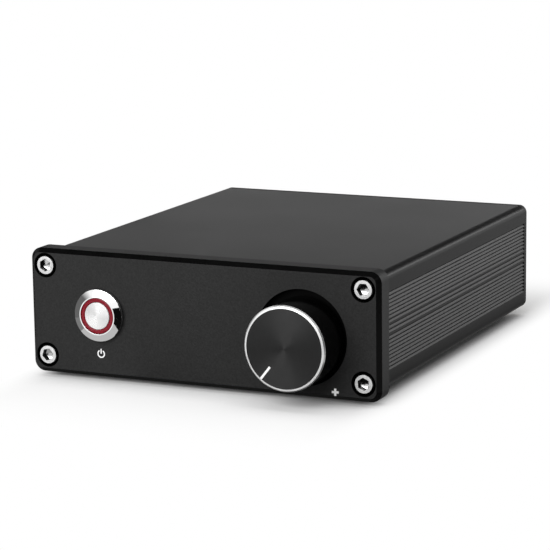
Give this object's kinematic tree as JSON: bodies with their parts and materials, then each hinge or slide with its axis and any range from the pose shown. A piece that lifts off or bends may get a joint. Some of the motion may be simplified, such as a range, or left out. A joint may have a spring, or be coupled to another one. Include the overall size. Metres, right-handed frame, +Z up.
{
  "type": "phono preamplifier",
  "caption": "Phono preamp: black extruded aluminium case, thick front panel, volume knob, lit push button, rear signal jacks, ground terminal and supply inlet.",
  "frame": {"origin": "on the table plane, below the centre of the whole object's box", "axes": "+Z up, -Y out of the front panel, +X to the right of someone facing the front panel"},
  "size_m": [0.1, 0.1372, 0.0347],
  "materials": {
    "case_black": "black anodised, fine-blasted",
    "panel_black": "black anodised, fine-blasted",
    "knob_black": "black anodised, spun face with a bright cut chamfer",
    "bright_steel": "zinc plated",
    "polished_steel": "polished stainless",
    "satin_steel": "radially brushed stainless",
    "plated_steel": "nickel plated",
    "black_steel": "black oxide",
    "tin_plate": "tin plated",
    "gold_plate": "gold plated brass",
    "foot_rubber": "matt rubber",
    "white_paint": "white paint in a milled line",
    "red_lens": "translucent red",
    "black_plastic": "moulded",
    "natural_plastic": "moulded",
    "white_plastic": "moulded",
    "red_plastic": "moulded",
    "board_green": "solder resist on glass laminate",
    "capacitor_sleeve": "printed sleeve",
    "resistor_blue": "lacquered"
  },
  "bodies": {
    "case": {"bottom_shell": "case_black", "top_shell": "case_black", "front_panel": "panel_black", "rear_panel": "panel_black", "front_screws": "bright_steel", "rear_screws": "black_steel", "feet": "foot_rubber", "pot_bushing": "bright_steel", "pot_body": "plated_steel", "pot_terminals": "tin_plate", "pot_washer": "plated_steel", "pot_nut": "plated_steel", "button_housing": "polished_steel", "button_seal": "foot_rubber", "button_light_ring": "red_lens", "button_spring": "bright_steel", "button_base": "black_plastic", "button_light_board": "board_green", "button_lights": "red_lens", "button_nut": "plated_steel", "button_terminals": "tin_plate", "lead_plug": "natural_plastic", "board_header": "natural_plastic", "header_pins": "tin_plate", "button_leads_red": "red_plastic", "button_leads_black": "black_plastic", "main_board": "board_green", "electrolytic_capacitors": "capacitor_sleeve", "film_capacitors": "red_plastic", "chip_sockets": "black_plastic", "amplifier_chips": "black_plastic", "resistors": "resistor_blue", "heat_sink": "case_black", "regulator": "black_plastic", "choke": "black_plastic", "input_jack_housing": "black_plastic", "output_jack_housing": "black_plastic", "input_left_shell": "gold_plate", "input_right_shell": "gold_plate", "output_left_shell": "gold_plate", "output_right_shell": "gold_plate", "white_insulators": "white_plastic", "red_insulators": "red_plastic", "jack_contacts": "gold_plate", "supply_body": "black_plastic", "supply_pin": "tin_plate", "supply_contact": "tin_plate", "ground_post": "gold_plate", "ground_tag": "tin_plate", "ground_nut": "plated_steel", "ground_lead": "black_plastic"},
    "knob": {"knob": "knob_black", "knob_pointer": "white_paint", "knob_set_screw": "black_steel", "pot_shaft": "bright_steel"},
    "power_button": {"button_cap": "satin_steel", "button_plunger": "black_plastic"},
    "ground_washer": {"ground_washer": "gold_plate"},
    "ground_thumb_nut": {"ground_thumb_nut": "gold_plate"}
  },
  "joints": [
    {"name": "volume_turn", "type": "hinge", "parent": "case", "child": "knob", "pos_m": [0.0288, -0.0686, 0.0161], "axis": [0, 1, 0], "range_deg": [0, 280]},
    {"name": "power_press", "type": "slide", "parent": "case", "child": "power_button", "axis": [0, 1, 0], "range_m": [0, 0.0015], "stiffness_N_per_m": 900, "springref_m": -0.001, "deforming": ["button_spring"]},
    {"name": "ground_washer_slide", "type": "slide", "parent": "case", "child": "ground_washer", "axis": [0, 1, 0], "range_m": [0, 0.0028]},
    {"name": "ground_nut_turn", "type": "hinge", "parent": "ground_washer", "child": "ground_thumb_nut", "pos_m": [0.008, 0.0625, 0.0181], "axis": [0, 1, 0], "range_deg": [0, 1440]}
  ],
  "couplings": [
    {"joint": "ground_nut_turn", "follows": "ground_washer_slide", "rad_per_m": 8976}
  ]
}
